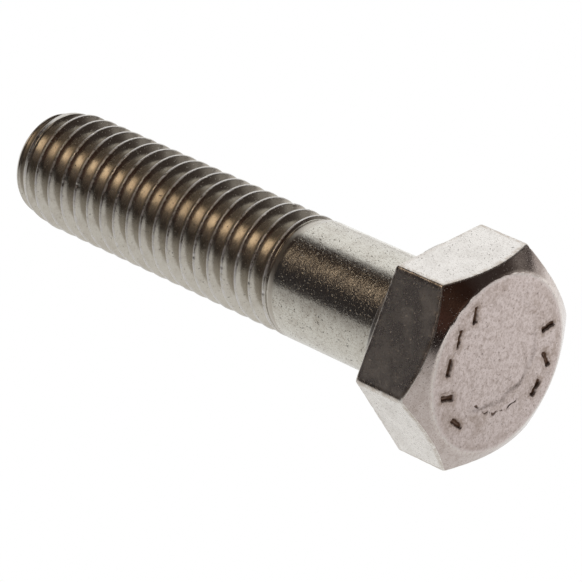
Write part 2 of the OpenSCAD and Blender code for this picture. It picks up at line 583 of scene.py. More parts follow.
@dataclass
class Surface:
    """A closed mesh in the making.

    Attributes:
        points: one row of x, y, z per vertex.
        faces: lists of vertex numbers, counter-clockwise seen from outside.
        zones: the number of each face's finish.
        masks: attributes by name, one number per vertex.
        normals: one unit vector per corner of each face, where the formula gives it.
    """

    points: np.ndarray
    faces: list[list[int]]
    zones: np.ndarray | None = None
    masks: dict[str, np.ndarray] = field(default_factory=dict)
    normals: np.ndarray | None = None

    def piece(self, name: str, node: str, slot: str, finishes: list[Finish],
              sharp: float = 40.0) -> bpy.types.Object:
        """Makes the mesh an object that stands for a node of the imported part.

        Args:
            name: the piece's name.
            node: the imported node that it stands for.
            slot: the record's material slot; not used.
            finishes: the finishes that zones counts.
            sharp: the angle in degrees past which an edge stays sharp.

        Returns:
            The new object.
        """
        mesh = bpy.data.meshes.new(name)
        mesh.from_pydata(self.points.tolist(), [], self.faces)
        for finish in finishes:
            mesh.materials.append(finish.material())
        if self.zones is not None:
            mesh.polygons.foreach_set("material_index", self.zones.astype(np.int32))
        for mask, values in self.masks.items():
            layer = mesh.attributes.new(mask, "FLOAT", "POINT")
            layer.data.foreach_set("value", values.astype(np.float32))
        mesh.shade_smooth()
        if self.normals is None:
            mesh.set_sharp_from_angle(angle=math.radians(sharp))
        else:
            mesh.normals_split_custom_set(self.normals.reshape(-1, 3).tolist())
        mesh.validate()
        piece = bpy.data.objects.new(name, mesh)
        bpy.context.scene.collection.objects.link(piece)
        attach(piece, BODY)
        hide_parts(node)
        LOG.info("%s: %d faces for %s", name, len(mesh.polygons), node)
        return piece


def ring_faces(rows: int, columns: int) -> np.ndarray:
    """The quads of a grid whose last column joins its first.

    Rows run along +X and columns round the axis from +Y to +Z, which makes this order point out.

    Args:
        rows: how many rings of points.
        columns: how many points in a ring.

    Returns:
        One row of four vertex numbers per quad.
    """
    row, column = np.meshgrid(np.arange(rows - 1), np.arange(columns), indexing="ij")
    after = (column + 1) % columns
    quads = [row * columns + column, row * columns + after,
             (row + 1) * columns + after, (row + 1) * columns + column]
    return np.stack(quads, -1).reshape(-1, 4)


def revolved(points: np.ndarray, masks: dict[str, np.ndarray] | None = None,
             row_zone: np.ndarray | None = None) -> Surface:
    """Closes a grid of rings with a point at each end of the axis.

    Args:
        points: rows by columns by 3, from the low end to the high end of the axis.
        masks: attributes by name, rows by columns.
        row_zone: the zone of the band that starts at each row.

    Returns:
        The closed surface.
    """
    rows, columns, _ = points.shape
    ends = np.array([[points[0, :, 0].mean(), 0, 0], [points[-1, :, 0].mean(), 0, 0]])
    column = np.arange(columns)
    after = (column + 1) % columns
    last = (rows - 1) * columns
    low = np.stack([np.full(columns, rows * columns), after, column], -1)
    high = np.stack([np.full(columns, rows * columns + 1), last + column, last + after], -1)
    sides = ring_faces(rows, columns)
    zones = None
    if row_zone is not None:
        zones = np.concatenate([np.repeat(row_zone[:-1], columns), np.full(columns, row_zone[0]),
                                np.full(columns, row_zone[-1])])
    flat_masks = {name: np.concatenate([grid.ravel(), grid[0, :1], grid[-1, :1]])
                  for name, grid in (masks or {}).items()}
    return Surface(np.concatenate([points.reshape(-1, 3), ends]),
                   sides.tolist() + low.tolist() + high.tolist(), zones, flat_masks)


def around(x: np.ndarray, radius: np.ndarray, angle: np.ndarray) -> np.ndarray:
    """Points at x along the axis, at a radius and an angle round it: (x, r cos a, r sin a)."""
    return np.stack(np.broadcast_arrays(x, radius * np.cos(angle), radius * np.sin(angle)), -1)


def rounded_corner(before: np.ndarray, corner: np.ndarray, after: np.ndarray, reach: float,
                   count: int) -> np.ndarray:
    """A quadratic curve that rounds a corner of an outline.

    It runs from the point reach before the corner to the point reach after it, as
    (1-t)^2 P + 2t(1-t) Q + t^2 R with the corner as Q.

    Args:
        before: the outline's point before the corner, any leading shape by 2.
        corner: the corner.
        after: the outline's point after it.
        reach: how far from the corner the curve starts and ends.
        count: how many points the curve has.

    Returns:
        count by the leading shape by 2.
    """
    def towards(other: np.ndarray) -> np.ndarray:
        """The point that lies reach from the corner on the way to another point."""
        away = other - corner
        return corner + away * reach / np.linalg.norm(away, axis=-1, keepdims=True)

    share = np.linspace(0, 1, count).reshape(-1, *([1] * np.ndim(corner)))
    start, end = towards(before), towards(after)
    return (1 - share) ** 2 * start + 2 * share * (1 - share) * corner + share ** 2 * end


def straight(start: np.ndarray, end: np.ndarray, count: int) -> np.ndarray:
    """Points between two ends of an outline, without the ends.

    Args:
        start: the first end, any leading shape by 2.
        end: the other end.
        count: how many points to put between.

    Returns:
        count by the leading shape by 2.
    """
    share = np.linspace(0, 1, count + 2)[1:-1].reshape(-1, *([1] * np.ndim(start)))
    return start + share * (end - start)


# ---------------------------------------------------------------- the bolt


@dataclass(frozen=True)
class Sizes:
    """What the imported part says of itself.

    Attributes:
        flats: half the distance across the flats.
        top: the top of the head.
        seat: the height of the washer face, where the hexagon starts.
        washer: the radius of the washer face.
        shank: the radius of the shank and of the thread's crests.
        fillet: the radius of the fillet under the head.
        shoulder: the place where the plain shank ends.
        full_thread: the place where the full thread ends.
        point_thread: the place where the full thread starts.
        end: the end of the point.
    """

    flats: float
    top: float
    seat: float
    washer: float
    shank: float
    fillet: float
    shoulder: float
    full_thread: float
    point_thread: float
    end: float

    @classmethod
    def from_frame(cls) -> Sizes:
        """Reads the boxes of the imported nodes.

        Returns:
            The sizes.
        """
        head, washer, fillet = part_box("hex_head"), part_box("washer_face"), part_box("head_fillet")
        shank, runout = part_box("plain_shank"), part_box("thread_runout")
        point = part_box("chamfered_point")
        return cls(head[1].z, head[1].x, head[0].x, washer[1].z, shank[1].z, -fillet[0].x,
                   shank[0].x, runout[0].x, point[1].x, point[0].x)


@dataclass
class Head:
    """The hexagon with its chamfer, pressed disc and pressed bars.

    Attributes:
        sizes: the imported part's sizes.
        corner: how far a vertical corner is rounded.
        corner_wear: the distances from a corner at which its wear ends and is full.
        rim: how far the edges of the chamfer are rounded.
        foot_rim: how far the edge above the washer face is rounded.
        underside: how far the underside reaches in past the washer face's edge.
        top_circle: the radius of the flat circle on the top.
        chamfer: the slope of the chamfer in degrees.
        chip_depth: how deep the dents in the worn edges are.
        chip_level: where the uneven field starts to be a dent and where it is a full one.
        dish: the radius of the pressed disc.
        dish_centre: how far the disc's centre lies from the axis along Y and Z.
        dish_depth: how deep the disc is pressed.
        dish_slope: half the width of the disc's sloping edge.
        dish_wander: how far the disc's edge wanders from a circle.
        unevenness: how far the top wanders from a plane.
        mark_depth: how deep a bar is pressed.
        mark_half: half the length and half the width of a bar.
        mark_slope: how far outside a bar's edge its slope starts, and where it ends inside.
        mark_wander: how far a bar's edge wanders.
        mark_ring: the distance of the bars from the axis.
        lip_height: how high the metal stands up beside a bar.
        lip_place: how far from a bar the lip is highest.
        lip_width: how wide the lip is.
        crease_depth: how deep the ragged crease is.
        crease_span: the angles between which the crease runs, in degrees.
        crease_radius: the crease's distance from the axis at either end.
        crease_wander: how far the crease's path wanders.
        crease_half: half the crease's width, and how far that wanders.
        sector_columns: how many points there are in a sixth of a turn.
        disc_rows: how many rings of points the top has.
        innermost: the radius of the smallest ring of points.
    """

    sizes: Sizes
    corner: float = 0.28 * MM
    corner_wear: tuple[float, float] = (0.3 * MM, 0.15 * MM)
    rim: float = 0.11 * MM
    foot_rim: float = 0.22 * MM
    underside: float = 0.3 * MM
    top_circle: float = 5.75 * MM
    chamfer: float = 34.0
    chip_depth: float = 0.03 * MM
    chip_level: tuple[float, float] = (0.3, 1.5)
    dish: float = 3.6 * MM
    dish_centre: tuple[float, float] = (-0.2 * MM, 0.9 * MM)
    dish_depth: float = 0.1 * MM
    dish_slope: float = 0.2 * MM
    dish_wander: float = 0.12 * MM
    unevenness: float = 0.008 * MM
    mark_depth: float = 0.15 * MM
    mark_half: tuple[float, float] = (0.52 * MM, 0.13 * MM)
    mark_slope: tuple[float, float] = (0.11 * MM, -0.07 * MM)
    mark_wander: float = 0.03 * MM
    mark_ring: float = 4.5 * MM
    lip_height: float = 0.03 * MM
    lip_place: float = 0.17 * MM
    lip_width: float = 0.08 * MM
    crease_depth: float = 0.05 * MM
    crease_span: tuple[float, float] = (224.0, 302.0)
    crease_radius: tuple[float, float] = (2.9 * MM, 3.6 * MM)
    crease_wander: float = 0.1 * MM
    crease_half: tuple[float, float] = (0.02 * MM, 0.04 * MM)
    sector_columns: int = 84
    disc_rows: int = 120
    innermost: float = 0.05 * MM

    # Where each pressed bar sits: its angle round the top, and its turn from the tangent
    bars = ((115, 60), (138, 25), (161, 0), (187, 65), (215, 10), (10, 90), (342, 40), (318, 0))

    def angles(self) -> np.ndarray:
        """Angles round the axis, closer together near the six corners.

        In each sixth of a turn an even share u becomes u - c sin(2 pi u) / (2 pi), where c is how
        crowded the corners are.

        Returns:
            One angle per column.
        """
        crowding = 0.7
        even = np.arange(self.sector_columns) / self.sector_columns
        share = even - crowding * np.sin(FULL_TURN * even) / FULL_TURN
        return ((np.arange(6)[:, None] + share) * SIXTH).ravel()

    def hexagon(self, angle: np.ndarray) -> np.ndarray:
        """The radius of a hexagon with rounded corners.

        On a flat it is the flat's distance over the cosine of the angle from the flat's middle. On
        a corner it is where the ray meets the corner's circle.

        Args:
            angle: angles round the axis.

        Returns:
            One radius per angle.
        """
        off = np.mod(angle, SIXTH) - SIXTH / 2
        flat = self.sizes.flats / np.cos(off)
        tangent = (self.sizes.flats - self.corner) * math.tan(SIXTH / 2)
        centre = (self.sizes.flats - self.corner) / math.cos(SIXTH / 2)
        from_corner = SIXTH / 2 - np.abs(off)
        inside = np.maximum(self.corner ** 2 - (centre * np.sin(from_corner)) ** 2, 0)
        circle = centre * np.cos(from_corner) + np.sqrt(inside)
        return np.where(self.sizes.flats * np.abs(np.tan(off)) > tangent, circle, flat)

    def from_bars(self, y: np.ndarray, z: np.ndarray) -> np.ndarray:
        """How far each point of the top lies outside the nearest pressed bar.

        A bar is a box, and the distance is negative inside it.

        Args:
            y: places along Y.
            z: places along Z.

        Returns:
            Distances.
        """
        nearest = np.full(y.shape, self.sizes.flats)
        for place, turn in np.radians(self.bars):
            away_y = y - self.mark_ring * math.cos(place)
            away_z = z - self.mark_ring * math.sin(place)
            along = math.cos(place + turn + math.pi / 2), math.sin(place + turn + math.pi / 2)
            length = np.abs(away_y * along[0] + away_z * along[1]) - self.mark_half[0]
            width = np.abs(away_z * along[0] - away_y * along[1]) - self.mark_half[1]
            outside = np.hypot(np.maximum(length, 0), np.maximum(width, 0))
            inside = np.minimum(np.maximum(length, width), 0)
            nearest = np.minimum(nearest, outside + inside)
        return nearest + self.mark_wander * Wander.BAR_EDGE.at(y, z)

    def crease(self, y: np.ndarray, z: np.ndarray) -> np.ndarray:
        """How deep in the ragged crease along the disc's lower edge each point lies.

        The crease follows a circle round the axis whose radius wanders, and its width wanders too.

        Args:
            y: places along Y.
            z: places along Z.

        Returns:
            Shares from 0 to 1.
        """
        turn = np.mod(np.arctan2(z, y), FULL_TURN)
        first, last = np.radians(self.crease_span)
        share = np.clip((turn - first) / (last - first), 0, 1)
        path = (self.crease_radius[0] + (self.crease_radius[1] - self.crease_radius[0]) * share
                + self.crease_wander * Wander.CREASE_PATH.at(y, z))
        half = self.crease_half[0] + self.crease_half[1] * Wander.CREASE_WIDTH.at(y, z)
        slope, taper = 0.03 * MM, 0.05
        line = smooth_step(np.abs(np.hypot(y, z) - path) - half, slope, -slope)
        return line * smooth_step(share, 0, taper) * smooth_step(share, 1, 1 - taper)

    def bands(self, angle: np.ndarray) -> tuple[Band, ...]:
        """The outline of every column, cut where the finish or the wear changes.

        In (radius, x) it runs from the underside round the flat, up the chamfer and across the
        top. It is worked out for every column at once, because the hexagon's radius changes round
        the axis.

        Args:
            angle: the angle of each column.

        Returns:
            The bands in order.
        """
        s = self.sizes
        hexagon = self.hexagon(angle)
        slope = math.tan(math.radians(self.chamfer))

        def at(radius: np.ndarray | float, x: np.ndarray | float) -> np.ndarray:
            """One outline point for every column."""
            return np.stack(np.broadcast_arrays(radius * np.ones_like(angle), x), -1)

        under = at(s.washer - self.underside, s.seat)
        foot = at(hexagon, s.seat)
        brow = at(hexagon, s.top - (hexagon - self.top_circle) * slope)
        crown = at(self.top_circle, s.top)
        inner = at(self.top_circle - 3 * self.rim, s.top)
        middle = at(self.innermost, s.top)
        foot_curve = rounded_corner(under, foot, brow, self.foot_rim, 8)
        brow_curve = rounded_corner(foot, brow, crown, self.rim, 9)
        crown_curve = rounded_corner(brow, crown, inner, 2 * self.rim, 9)
        return (Band(under[None], Zone.FLAT), Band(straight(under, foot_curve[0], 2), Zone.FLAT),
                Band(foot_curve, Zone.FLAT, 0.6),
                Band(straight(foot_curve[-1], brow_curve[0], 16), Zone.FLAT),
                Band(brow_curve[:-1], Zone.FLAT, 1.0), Band(brow_curve[-1:], Zone.CHAMFER),
                Band(straight(brow_curve[-1], crown_curve[0], 12), Zone.CHAMFER),
                Band(crown_curve[:4], Zone.CHAMFER), Band(crown_curve[4:], Zone.TOP),
                Band(straight(crown_curve[-1], middle, self.disc_rows), Zone.TOP))

    def pressings(self, y: np.ndarray, z: np.ndarray,
                  edge: np.ndarray) -> tuple[np.ndarray, dict[str, np.ndarray]]:
        """What the press left on the top.

        Args:
            y: places along Y.
            z: places along Z.
            edge: how far inside the flat circle each place lies.

        Returns:
            How far each place stands above the plane of the top, and its attributes by name.
        """
        bars = self.from_bars(y, z)
        crease = self.crease(y, z)
        from_dish = (np.hypot(y - self.dish_centre[0], z - self.dish_centre[1]) - self.dish
                     + self.dish_wander * Wander.DISH_EDGE.at(y, z))
        pressed = smooth_step(bars, *self.mark_slope)
        lip = np.exp(-((bars - self.lip_place) / self.lip_width) ** 2)
        dish = smooth_step(from_dish, self.dish_slope, -self.dish_slope)
        height = (self.lip_height * lip + self.unevenness * Wander.TOP.at(y, z)
                  - self.mark_depth * pressed - self.dish_depth * dish
                  - self.crease_depth * crease)

        # The colour is darkest on the walls of a bar, as residue and painted shade, and a stain
        # fades over the metal beside it.
        # Fainter stains lie in blotches outside the disc, a darker ring lies just inside the rim,
        # and painted shade lies round the disc's sloping edge
        wall = smooth_step(bars, 0.07 * MM, -0.02 * MM)
        floor = smooth_step(bars, -0.07 * MM, -0.11 * MM)
        beside = smooth_step(bars, 0.6 * MM, 0.1 * MM)
        blotch = smooth_step(Wander.BLOTCH.at(y, z), 0.1, 1.0)
        outer = smooth_step(from_dish, 0.0, 0.5 * MM) * smooth_step(edge, 0.25 * MM, 0.6 * MM)
        painted_dish_edge_shade = smooth_step(np.abs(from_dish - 0.2 * MM), 0.45 * MM, 0.05 * MM)
        rim_ring = smooth_step(np.abs(edge - 0.45 * MM), 0.35 * MM, 0.05 * MM)
        dull = smooth_step(Wander.DULL.at(y, z), -0.8, 0.8)
        faint = np.maximum(0.7 * blotch * outer, 0.45 * np.maximum(painted_dish_edge_shade, rim_ring) * dull)
        return height, {"pressed": np.maximum(wall - 0.35 * floor, 0.75 * crease),
                        "stained_and_shaded": np.maximum(beside, faint)}

    def build(self) -> bpy.types.Object:
        """Makes the head: its outline for every column, worn at the edges and pressed on top.

        Returns:
            The head.
        """
        angle = self.angles()
        bands = self.bands(angle)
        outline = np.concatenate([band.points for band in bands])
        rows = [len(band.points) for band in bands]
        zone = np.repeat([int(band.zone) for band in bands], rows)
        on_flat, on_top = (zone == Zone.FLAT)[:, None], (zone == Zone.TOP)[:, None]
        radius, x = outline[..., 0], outline[..., 1]
        angle = np.broadcast_to(angle, radius.shape)
        y, z = radius * np.cos(angle), radius * np.sin(angle)

        from_corner = np.abs(np.mod(angle + SIXTH / 2, SIXTH) - SIXTH / 2)
        corner = smooth_step(self.sizes.flats * from_corner, *self.corner_wear)
        worn = np.maximum(np.repeat([band.worn for band in bands], rows)[:, None],
                          corner * on_flat)
        chips = smooth_step(Wander.CHIP.at(x, self.sizes.flats * angle), *self.chip_level)
        radius = radius - self.chip_depth * chips * worn

        height, marks = self.pressings(y, z, self.top_circle - radius)
        masks = {name: mark * on_top for name, mark in marks.items()}
        masks["worn"] = worn
        # Painted highlight: the rim mask lightens the round edge of the top
        masks["rim"] = smooth_step(np.abs(radius - self.top_circle), 0.25 * MM, 0.0)
        surface = revolved(around(x + height * on_top, radius, angle), masks, zone)
        return surface.piece("forged_head", "hex_head", "head_steel",
                             [Finish.DRAWN, Finish.TRIMMED, Finish.PRESSED])


@dataclass
class Neck:
    """The washer face, the fillet and the plain shank: all turned outlines.

    Attributes:
        sizes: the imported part's sizes.
        columns: how many points there are round the axis.
        edge: how far the washer face's outer edge is rounded.
        swell: how far the shank's surface wanders from a true cylinder.
        swells: how many waves the wandering is the sum of.
        swell_length: the shortest and the longest of the waves along the axis.
        seed: the seed of the wandering.
    """

    sizes: Sizes
    columns: int = 256
    edge: float = 0.12 * MM
    swell: float = 0.004 * MM
    swells: int = 14
    swell_length: tuple[float, float] = (1.2 * MM, 5.0 * MM)
    seed: int = 11

    def turned(self, outline: np.ndarray) -> Surface:
        """Turns an outline of (radius, x) points round the axis.

        Args:
            outline: one row per point, from the low end to the high end.

        Returns:
            The closed surface.
        """
        angle = np.arange(self.columns) * FULL_TURN / self.columns
        return revolved(around(outline[:, 1:], outline[:, :1], angle[None]))

    def ring(self, outline: np.ndarray) -> Surface:
        """Turns a closed outline round the axis, as a ring with a hole.

        Args:
            outline: one row per point, going round the section with the metal on its left.

        Returns:
            The closed surface.
        """
        angle = np.arange(self.columns) * FULL_TURN / self.columns
        rows = len(outline)
        loop = np.concatenate([outline, outline[:1]])
        faces = ring_faces(rows + 1, self.columns) % (rows * self.columns)
        points = around(loop[:-1, 1:], loop[:-1, :1], angle[None])
        return Surface(points.reshape(-1, 3), faces.tolist())

    def washer_face(self) -> bpy.types.Object:
        """Makes the round bearing face, a ring with a rounded outer edge.

        Returns:
            The washer face.
        """
        s = self.sizes
        hole = s.shank + s.fillet
        inner_low, outer_low = np.array([hole, 0.0]), np.array([s.washer, 0.0])
        outer_high, inner_high = np.array([s.washer, s.seat]), np.array([hole, s.seat])
        curve = rounded_corner(inner_low, outer_low, outer_high, self.edge, 9)
        outline = np.concatenate([inner_low[None], straight(inner_low, curve[0], 8), curve,
                                  outer_high[None], inner_high[None]])
        return self.ring(outline).piece("bearing_ring", "washer_face", "bearing_steel",
                                        [Finish.TURNED], 30.0)

    def fillet(self) -> bpy.types.Object:
        """Makes the fillet, a quarter circle hollowed out of the corner, and the disc behind it.

        Returns:
            The fillet.
        """
        s = self.sizes
        turn = np.linspace(0, math.pi / 2, 17)
        curve = np.stack([s.shank + s.fillet * (1 - np.cos(turn)),
                          s.fillet * (np.sin(turn) - 1)], -1)
        back = np.array([[s.shank + s.fillet, s.seat]])
        return self.turned(np.concatenate([curve, back])).piece(
            "under_head_fillet", "head_fillet", "fillet_steel", [Finish.TURNED], 30.0)

    def shank(self) -> bpy.types.Object:
        """Makes the plain shank.

        Its radius wanders by a sum of slow waves along and round the axis, with random lengths and
        phases, which fades to nothing at both ends.

        Returns:
            The shank.
        """
        s = self.sizes
        along = np.linspace(s.shoulder, -s.fillet, 121)
        angle = np.arange(self.columns) * FULL_TURN / self.columns
        random = np.random.default_rng(self.seed)
        wander = np.zeros((len(along), self.columns))
        for _ in range(self.swells):
            turns = random.integers(2, 16)
            length = random.uniform(*self.swell_length)
            phase = random.uniform(0, FULL_TURN)
            wander += np.cos(turns * angle[None] + along[:, None] * FULL_TURN / length + phase)
        fade = smooth_step(along, s.shoulder, s.shoulder + 1.0 * MM)
        fade = fade * smooth_step(along, -s.fillet, -2 * s.fillet)
        radius = s.shank - self.swell * (1 + wander / 8) * fade[:, None]
        surface = revolved(around(along[:, None], radius, angle[None]))
        return surface.piece("plain_shank_surface", "plain_shank", "shank_steel",
                             [Finish.FORGED], 50.0)

    def build(self) -> list[bpy.types.Object]:
        """Makes the three pieces."""
        return [self.washer_face(), self.fillet(), self.shank()]


@dataclass
class Thread:
    """The rolled thread with its point and its run-out.

    Attributes:
        sizes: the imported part's sizes.
        pitch: the distance along the axis from crest to crest.
        crest: where the crest crosses the +Y side.
        flank: the angle of a flank to a plane across the axis, in degrees.
        root_arc: the radius of the rounded root, in pitches.
        shoulder_arc: the radius of the rounded shoulder.
        point: the radius of the point's flat end.
        taper: the radius where the point's chamfer ends and its slow taper starts.
        columns: how many points there are in a turn.
        half_rows: where the rows of points lie in half a pitch, as shares of the pitch.
        depth_share: the depth of the standard profile, in pitches.
        shoulder_blend: how near the shoulder and the thread are where their corner is rounded.
        taper_blend: the same for the chamfer and the taper.
        point_blend: the same for the point and the thread.
        nicks: how many small dents the crests have.
        nick_size: the radii of the smallest and the widest dent.
        nick_depth: the depths of the shallowest and the deepest dent.
        seed: the seed of the dents.
    """

    sizes: Sizes
    pitch: float = 1.25 * MM
    crest: float = -14.0 * MM
    flank: float = 30.0
    root_arc: float = 0.14434
    shoulder_arc: float = 2.1 * MM
    point: float = 3.0 * MM
    taper: float = 3.5 * MM
    columns: int = 160
    half_rows: tuple[float, ...] = (0.02, 0.042, 0.066, 0.094, 0.14, 0.20, 0.26, 0.32, 0.375,
                                    0.41, 0.455)
    depth_share: float = 0.6134
    shoulder_blend: float = 0.05 * MM
    taper_blend: float = 0.2 * MM
    point_blend: float = 0.1 * MM
    nicks: int = 150
    nick_size: tuple[float, float] = (0.05 * MM, 0.16 * MM)
    nick_depth: tuple[float, float] = (0.01 * MM, 0.05 * MM)
    seed: int = 5

    def __post_init__(self) -> None:
        """Works out one pitch of the profile and the places of the nicks.

        The profile is that of a flat crest an eighth of a pitch wide and straight flanks, with the
        crest rounded by the arc that touches its middle and both flanks, and the root by an arc.
        """
        slant = math.radians(self.flank)
        flat = self.pitch / 16
        crest_arc = flat / math.tan(math.pi / 4 - slant / 2)
        root_arc = self.root_arc * self.pitch
        self.depth = self.depth_share * self.pitch
        self.shares = np.linspace(0, 1, 1025)
        distance = self.pitch * np.minimum(self.shares, 1 - self.shares)
        from_root = self.pitch / 2 - distance
        crest = crest_arc - np.sqrt(np.maximum(crest_arc ** 2 - distance ** 2, 0))
        root = self.depth - root_arc + np.sqrt(np.maximum(root_arc ** 2 - from_root ** 2, 0))
        self.profile = np.where(distance < crest_arc * math.cos(slant), crest,
                                np.where(from_root < root_arc * math.cos(slant), root,
                                         (distance - flat) / math.tan(slant)))
        random = np.random.default_rng(self.seed)
        turns = (self.sizes.shoulder - self.sizes.end) / self.pitch
        self.dents = np.stack([random.uniform(0, turns, self.nicks),
                               random.uniform(*self.nick_size, self.nicks),
                               random.uniform(*self.nick_depth, self.nicks)], -1)

    def groove(self, x: np.ndarray, angle: np.ndarray) -> np.ndarray:
        """How far the thread's surface lies below the crests."""
        share = np.mod((x - self.crest) / self.pitch - angle / FULL_TURN, 1.0)
        return np.interp(share, self.shares, self.profile)

    def nick(self, x: np.ndarray, angle: np.ndarray) -> np.ndarray:
        """How deep the dents in the crests are.

        Each dent is a round bell in the surface rolled flat, where a place is the distance along
        the axis and the distance round it.

        Args:
            x: places along the axis.
            angle: angles round it.

        Returns:
            Depths.
        """
        depth = np.zeros(np.broadcast(x, angle).shape)
        for turn, size, deep in self.dents:
            place = FULL_TURN * (turn % 1.0)
            start = self.crest + self.pitch * (turn % 1.0)
            first = math.ceil((self.sizes.end - start) / self.pitch)
            along = x - (start + self.pitch * (first + math.floor(turn)))
            round_it = np.mod(angle - place + math.pi, FULL_TURN) - math.pi
            far = (along / size) ** 2 + (round_it * self.sizes.shank / size) ** 2
            depth += deep * np.exp(-far)
        return depth

    def radius(self, x: np.ndarray, angle: np.ndarray) -> np.ndarray:
        """The radius of the surface.

        It is the larger of the thread and the shoulder, and no larger than the point's chamfer,
        with the corners between them rounded. The shoulder is a circle's arc that starts level
        with the plain shank.

        Args:
            x: places along the axis.
            angle: angles round it.

        Returns:
            Radii.
        """
        s = self.sizes
        thread = s.shank - self.groove(x, angle) - self.nick(x, angle)
        back = np.clip(s.shoulder - x, 0, self.shoulder_arc)
        shoulder = s.shank - self.shoulder_arc + np.sqrt(self.shoulder_arc ** 2 - back ** 2)
        taper_start = s.end + self.taper - self.point
        slope = (s.shank - self.taper) / (s.point_thread - taper_start)
        chamfer = soft_min(self.point + (x - s.end), self.taper + (x - taper_start) * slope,
                           self.taper_blend)
        body = np.where(s.shoulder - x < self.shoulder_arc,
                        soft_max(thread, shoulder, self.shoulder_blend), thread)
        body = np.minimum(body, s.shank)
        return soft_min(chamfer, body, self.point_blend)

    def normals(self, x: np.ndarray, angle: np.ndarray) -> np.ndarray:
        """Unit vectors square to the surface.

        The surface is (x, r cos a, r sin a), so its two tangents are (1, r_x cos a, r_x sin a) and
        the turn of the radius, and the vector is their product, with the slopes of r taken over a
        short step.

        Args:
            x: places along the axis.
            angle: angles round it.

        Returns:
            One vector per place.
        """
        step_x, step_a = 0.004 * MM, 0.001
        radius = self.radius(x, angle)
        slope_x = (self.radius(x + step_x, angle) - self.radius(x - step_x, angle)) / (2 * step_x)
        slope_a = (self.radius(x, angle + step_a) - self.radius(x, angle - step_a)) / (2 * step_a)
        round_it = slope_a / radius
        vector = np.stack([-slope_x, np.cos(angle) + round_it * np.sin(angle),
                           np.sin(angle) - round_it * np.cos(angle)], -1)
        return vector / np.linalg.norm(vector, axis=-1, keepdims=True)

    def winding(self, low: float, high: float) -> tuple[np.ndarray, np.ndarray, np.ndarray]:
        """The points and triangles between two planes across the axis.

        Rows of points follow the helix, so that the crests stay sharp. A row that would pass an
        end plane joins that plane's rim, and triangles that this leaves without area are dropped.

        Args:
            low: the plane nearer the point.
            high: the plane nearer the head.

        Returns:
            The points' places along the axis and angles round it, with the low rim's first and
            the high rim's after it, and the triangles as rows of three point numbers.
        """
        turn_low = math.floor((low - self.crest) / self.pitch) - 2
        turn_high = math.ceil((high - self.crest) / self.pitch) + 1
        half = np.array(self.half_rows)
        shares = np.concatenate([[0.0], half, [0.5], 1 - half[::-1]])
        rows = len(shares)
        total = (turn_high - turn_low) * rows
        snap = 0.008 * self.pitch
        row, column = np.meshgrid(np.arange(total + rows), np.arange(self.columns), indexing="ij")
        x = self.crest + self.pitch * (turn_low + row // rows + shares[row % rows]
                                       + column / self.columns)
        index = 2 * self.columns + row * self.columns + column
        index = np.where(x < low + snap, column, index)
        index = np.where(x > high - snap, self.columns + column, index)
        wrapped = np.concatenate([index[:-rows], index[rows:, :1]], axis=1)
        quads = np.stack([wrapped[:-1, :-1], wrapped[:-1, 1:], wrapped[1:, 1:], wrapped[1:, :-1]],
                         -1).reshape(-1, 4)
        triangles = np.concatenate([quads[:, [0, 1, 2]], quads[:, [0, 2, 3]]])
        a, b, c = triangles.T
        angle = np.arange(self.columns) * FULL_TURN / self.columns
        places = np.concatenate([np.full(self.columns, low), np.full(self.columns, high),
                                 x.ravel()])
        angles = np.concatenate([angle, angle, angle[column].ravel()])
        return places, angles, triangles[(a != b) & (b != c) & (c != a)]

    def stretch(self, low: float, high: float) -> Surface:
        """A stretch of thread, closed by a flat face at each end that has the second finish.

        Args:
            low: the plane nearer the point.
            high: the plane nearer the head.

        Returns:
            The closed surface.
        """
        x, angle, triangles = self.winding(low, high)
        centre = len(x)
        x, angle = np.append(x, [low, high]), np.append(angle, [0, 0])
        here = np.arange(self.columns)
        after = (here + 1) % self.columns
        low_face = np.stack([np.full(self.columns, centre), after, here], -1)
        high_face = np.stack([np.full(self.columns, centre + 1), self.columns + here,
                              self.columns + after], -1)
        faces = np.concatenate([triangles, low_face, high_face])

        used, packed = np.unique(faces, return_inverse=True)
        x, angle, middle = x[used], angle[used], used >= centre
        faces = packed.reshape(-1, 3)
        radius = np.where(middle, 0.0, self.radius(x, angle))
        normals = self.normals(x, angle)[faces]
        normals[-2 * self.columns:-self.columns] = (-1, 0, 0)
        normals[-self.columns:] = (1, 0, 0)
        zones = np.zeros(len(faces), np.int32)
        zones[-2 * self.columns:] = 1
        below = self.groove(x, angle) / self.depth
        # crest lightens the crests with wear and a painted highlight; root darkens the deep half of
        # each groove with painted shade
        masks = {"crest": smooth_step(below, 0.12, 0.0) * ~middle,
                 "root": smooth_step(below, 0.55, 1.0) * ~middle}
        return Surface(around(x, radius, angle), faces.tolist(), zones, masks, normals)

    def build(self) -> list[bpy.types.Object]:
        """Makes the run-out, the thread and the point.

        Returns:
            The three pieces.
        """
        s = self.sizes
        parts = (("runout_shoulder", "thread_runout", "runout_steel", s.full_thread, s.shoulder),
                 ("thread_ridge", "rolled_thread", "thread_steel", s.point_thread, s.full_thread),
                 ("bolt_point", "chamfered_point", "point_steel", s.end, s.point_thread))
        return [self.stretch(low, high).piece(name, node, slot, [Finish.ROLLED, Finish.TURNED])
                for name, node, slot, low, high in parts]


# ---------------------------------------------------------------- the studio


